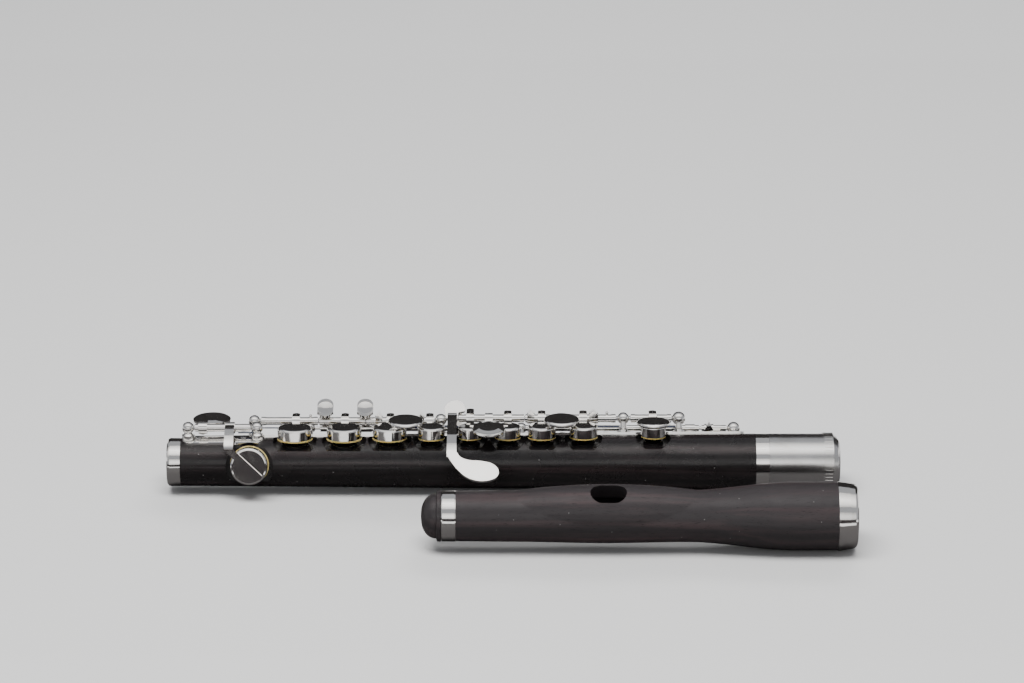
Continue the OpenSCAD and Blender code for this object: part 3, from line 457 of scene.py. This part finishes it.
def pad_seat(node):
    """For each solid: face centre, the way it faces, radius, thickness, felt core, skin height."""
    mesh = NODES[node].data
    by_pad = [mesh.vertices]
    if node == "g_pads":
        mid = sum(v.co.x for v in mesh.vertices) / len(mesh.vertices)
        by_pad = [[v for v in mesh.vertices if v.co.x < mid], [v for v in mesh.vertices if v.co.x >= mid]]
    seats = []
    for verts in by_pad:
        keep = {v.index for v in verts}
        faces = [p for p in mesh.polygons if p.vertices[0] in keep]
        ups = {}
        for p in faces:
            key = tuple(round(abs(c), 2) for c in p.normal)
            ups.setdefault(key, []).append(p)
        flat = max(ups.values(), key=lambda ps: sum(p.area for p in ps))
        way = flat[0].normal.copy()
        mid = sum((v.co for v in verts), Vector()) / len(verts)
        if way.dot(Vector((0, -mid.y, -mid.z))) < 0:
            way.negate()
        depth = [v.co.dot(way) for v in verts]
        face, back = max(depth), min(depth)
        xs = [v.co.x for v in verts]
        centre = Vector(((min(xs) + max(xs)) / 2, 0, 0))
        side = way.cross(Vector((1, 0, 0))).normalized()
        off = [v.co.dot(side) for v in verts]
        centre += side * ((min(off) + max(off)) / 2) + way * (face - centre.dot(way))
        core = max(v.co.x for v, d in zip(verts, depth) if d < back + NEAR) - centre.x
        rim = face - min(d for v, d in zip(verts, depth) if v.co.x > centre.x + core + NEAR)
        seats.append((centre, way, (max(xs) - min(xs)) / 2, face - back, core, rim))
    return seats


def make_pad(label, radius, thick, core, rim):
    """A pad as a repairer makes it: felt disc, skin drawn round its edge, ring pressed by the seat."""
    s = sizes()
    deselect()
    bpy.ops.mesh.primitive_cylinder_add(vertices=72, radius=radius, depth=rim,
                                        location=(0, 0, rim / 2), end_fill_type="NGON")
    pad = bpy.context.object
    pad.name = label
    bpy.ops.object.transform_apply(location=True, rotation=True, scale=True)
    bpy.ops.object.mode_set(mode="EDIT")
    pick(pad, lambda c, n: n.z > 0.9)
    bpy.ops.mesh.inset(thickness=radius - core)
    bpy.ops.mesh.extrude_region_move(TRANSFORM_OT_translate={"value": (0, 0, thick - rim)})
    pick(pad, lambda c, n: n.z < -0.9)
    bpy.ops.mesh.bevel(offset=s.skin_round, segments=5, profile=0.55, affect="EDGES")
    pick(pad, lambda c, n: n.z < -0.99)
    bpy.ops.mesh.inset(thickness=radius * 0.16)
    bpy.ops.mesh.inset(thickness=radius * 0.05)
    bpy.ops.transform.translate(value=(0, 0, s.seat_mark))
    bpy.ops.mesh.inset(thickness=radius * 0.05)
    bpy.ops.transform.translate(value=(0, 0, -s.seat_mark))
    bpy.ops.mesh.inset(thickness=radius * 0.2)
    bpy.ops.object.mode_set(mode="OBJECT")
    bpy.ops.object.shade_smooth_by_angle(angle=math.radians(40))
    return pad


def stand(obj, centre, way):
    """Puts a finished piece's face at centre, its -Z looking along way, with its place in its mesh."""
    turn = Vector((0, 0, -1)).rotation_difference(way).to_matrix().to_4x4()
    obj.matrix_world = Matrix.Translation(centre) @ turn
    deselect()
    obj.select_set(True)
    bpy.context.view_layer.objects.active = obj
    bpy.ops.object.transform_apply(location=True, rotation=True, scale=True)


# ---------------------------------------------------------------- studio helpers

def card(name, place, turn, width, height, tone, glow):
    """A card that only mirror-like reflections see, as a studio sets beside silver."""
    deselect()
    bpy.ops.mesh.primitive_plane_add(size=1, location=place, rotation=turn)
    board = bpy.context.object
    board.name = name
    board.scale = (width, height, 1)
    board_mat, board_tree, board_bsdf = blank(name + "_face", Roughness=1.0)
    board_bsdf.inputs["Base Color"].default_value = (*tone, 1)
    if glow:
        spot = board_tree.nodes.new("ShaderNodeTexCoord")
        size = new_node(board_tree, "ShaderNodeMapping", in_Scale=(1.9, 1.9, 1.9))
        fade = new_node(board_tree, "ShaderNodeTexGradient", gradient_type="SPHERICAL")
        board_tree.links.new(spot.outputs["Object"], size.inputs["Vector"])
        board_tree.links.new(size.outputs[0], fade.inputs["Vector"])
        board_tree.links.new(spread_value(board_tree, fade.outputs["Fac"], 0.30, glow),
                             board_bsdf.inputs["Emission Strength"])
        board_bsdf.inputs["Emission Color"].default_value = (1.0, 0.985, 0.96, 1)
    board.data.materials.append(board_mat)
    for ray in ("camera", "diffuse", "shadow", "transmission"):
        setattr(board, "visible_" + ray, False)


def softbox(name, place, width, height, watts):
    """A soft light aimed at the part. Silver mirrors the glowing cards instead of it."""
    data = bpy.data.lights.new(name, "AREA")
    data.shape = "RECTANGLE"
    data.size, data.size_y, data.energy = width, height, watts
    lamp = bpy.data.objects.new(name, data)
    lamp.visible_glossy = False
    bpy.context.scene.collection.objects.link(lamp)
    lamp.location = place
    lamp.rotation_euler = (LIGHT_AIM - Vector(place)).to_track_quat("-Z", "Y").to_euler()


# ---------------------------------------------------------------- operators

class PICCOLO_OT_wood(bpy.types.Operator):
    """Oiled black wood on the body joint, drier streaked wood on the head joint and its crown"""
    bl_idname = "piccolo.wood"
    bl_label = "Wood"

    def execute(self, context):
        c = colours()
        streak = tuple(c.streak)
        for node, ground, rough, coat, share, seed in (
                ("body_wood", tuple(c.wood), 0.30, 0.35, 0.35, 1.0),
                ("head_wood", tuple(c.head), 0.42, 0.12, 0.75, 2.0),
                ("crown", tuple(c.head), 0.36, 0.2, 0.5, 3.0)):
            name = node.replace("_wood", "") + "_grenadilla"
            paint(node, grenadilla(name, ground, streak, rough, coat, share, seed))
        return {"FINISHED"}


class PICCOLO_OT_silver(bpy.types.Operator):
    """Mirror-polished silver on rings, ribs, posts and keys, each with its own marks"""
    bl_idname = "piccolo.silver"
    bl_label = "Polished silver"

    def execute(self, context):
        batch = [mirror_silver(f"mirror_silver_{i}", 7.0 + i * 3.1) for i in range(4)]
        for i, node in enumerate(MIRROR):
            paint(node, batch[i % len(batch)])
        return {"FINISHED"}


class PICCOLO_OT_satin(bpy.types.Operator):
    """Lathe-ringed satin silver on the tenon sleeve and its cap"""
    bl_idname = "piccolo.satin"
    bl_label = "Satin silver"

    def execute(self, context):
        mat = satin_silver("lathe_satin")
        for node in ("tenon_sleeve", "tenon_cap"):
            paint(node, mat)
        return {"FINISHED"}


class PICCOLO_OT_small_metal(bpy.types.Operator):
    """Steel rods and screws, blued springs, and the brass and cork inside the head"""
    bl_idname = "piccolo.small_metal"
    bl_label = "Rods, screws and stopper"

    def execute(self, context):
        steel = plain_metal("turned_steel", (0.56, 0.56, 0.57), (0.45, 0.44, 0.43), 0.16, 0.34, 11.0)
        blue = plain_metal("blued_spring", (0.04, 0.055, 0.11), (0.07, 0.06, 0.10), 0.2, 0.35, 12.0)
        brass = plain_metal("turned_brass", (0.72, 0.52, 0.22), (0.58, 0.38, 0.14), 0.18, 0.36, 13.0)
        cork = cork_finish("stopper_cork_grain")
        finish = {"steel": steel, "blued_steel": blue, "brass": brass, "cork": cork}
        for node, slot in SLOT_OF.items():
            if slot in finish:
                paint(node, finish[slot])
        return {"FINISHED"}


class PICCOLO_OT_pads(bpy.types.Operator):
    """Skin pads under every key cup, in place of their plain solids"""
    bl_idname = "piccolo.pads"
    bl_label = "Pads"

    def execute(self, context):
        s = sizes()
        mat = skin_finish("yellow_skin")
        for node in PADS:
            for i, (centre, way, radius, thick, core, rim) in enumerate(pad_seat(node)):
                label = node.replace("_pads", f"_pad_{i}") if node == "g_pads" else node
                pad = make_pad(label + "_skin", radius - s.skin_in, thick - SKIN_CLEAR,
                               core - NEAR, rim - SKIN_CLEAR)
                stand(pad, centre - way * SKIN_CLEAR, way)
                pad.data.materials.append(mat)
                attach(pad, BODY_OF[node])
                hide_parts(node)
        return {"FINISHED"}


class PICCOLO_OT_studio(bpy.types.Operator):
    """Pale floor, soft lights, dark flags for the silver to mirror, and the camera"""
    bl_idname = "piccolo.studio"
    bl_label = "Studio"

    def execute(self, context):
        s = sizes()
        deselect()
        bpy.ops.mesh.primitive_plane_add(size=FLOOR_SIZE, location=(LIGHT_AIM.x, 0, FLOOR_Z - FLOOR_DROP))
        floor = context.object
        floor.name = "studio_floor"
        mat, tree, bsdf = blank("pale_floor")
        coord = tree.nodes.new("ShaderNodeTexCoord")
        cloud = new_node(tree, "ShaderNodeTexNoise", in_Scale=3.0, in_Detail=3.0)
        tree.links.new(coord.outputs["Object"], cloud.inputs["Vector"])
        f = tuple(colours().floor)
        tree.links.new(two_tone(tree, cloud.outputs["Fac"], f, tuple(v * 0.97 for v in f)),
                       bsdf.inputs["Base Color"])
        bsdf.inputs["Roughness"].default_value = 0.6
        floor.data.materials.append(mat)

        for name, place, turn, width, height, tone, glow in CARDS:
            card(name, place, (math.radians(turn), 0, 0), width, height, tone, glow)

        world = bpy.data.worlds.new("studio_air")
        context.scene.world = world
        world.use_nodes = True
        air = world.node_tree.nodes["Background"]
        air.inputs["Color"].default_value = AIR_TONE
        air.inputs["Strength"].default_value = AIR_LEVEL

        for name, place, width, height, watts in SOFTBOXES:
            softbox(name, place, width, height, watts)

        tilt, far = s.camera_tilt, s.camera_far
        cam_data = bpy.data.cameras.new("camera")
        cam_data.sensor_width = SENSOR_MM
        cam_data.lens = LENS_MM
        cam_data.clip_start = 0.01
        cam = bpy.data.objects.new("camera", cam_data)
        context.scene.collection.objects.link(cam)
        aim = Vector((AIM_X, AIM_UP * math.sin(tilt), AIM_UP * math.cos(tilt)))
        cam.location = aim + far * Vector((0, -math.cos(tilt), math.sin(tilt)))
        cam.rotation_euler = (math.pi / 2 - tilt, 0, 0)
        context.scene.camera = cam
        return {"FINISHED"}


PIECE_STEPS = (PICCOLO_OT_wood, PICCOLO_OT_silver, PICCOLO_OT_satin, PICCOLO_OT_small_metal,
               PICCOLO_OT_pads, PICCOLO_OT_studio)


class PICCOLO_PT_sidebar(bpy.types.Panel):
    """Lists the steps that dress the piccolo"""
    bl_idname = "PICCOLO_PT_sidebar"
    bl_label = "Piccolo finish"
    bl_space_type = "VIEW_3D"
    bl_region_type = "UI"
    bl_category = "Piccolo"

    def draw(self, context):
        column = self.layout.column()
        for step in PIECE_STEPS:
            column.operator(step.bl_idname)
        for settings in (context.scene.piccolo_sizes, context.scene.piccolo_colours):
            for prop in settings.bl_rna.properties:
                if not prop.is_readonly and prop.identifier != "name":
                    column.prop(settings, prop.identifier)


CLASSES = (PICCOLO_PG_sizes, PICCOLO_PG_colours, *PIECE_STEPS, PICCOLO_PT_sidebar)


def register():
    for cls in CLASSES:
        bpy.utils.register_class(cls)
    bpy.types.Scene.piccolo_sizes = bpy.props.PointerProperty(type=PICCOLO_PG_sizes)
    bpy.types.Scene.piccolo_colours = bpy.props.PointerProperty(type=PICCOLO_PG_colours)


def unregister():
    del bpy.types.Scene.piccolo_colours
    del bpy.types.Scene.piccolo_sizes
    for cls in reversed(CLASSES):
        bpy.utils.unregister_class(cls)


def main():
    register()
    bpy.ops.piccolo.wood()
    bpy.ops.piccolo.silver()
    bpy.ops.piccolo.satin()
    bpy.ops.piccolo.small_metal()
    bpy.ops.piccolo.pads()
    bpy.ops.piccolo.studio()


if __name__ == "__main__":
    main()
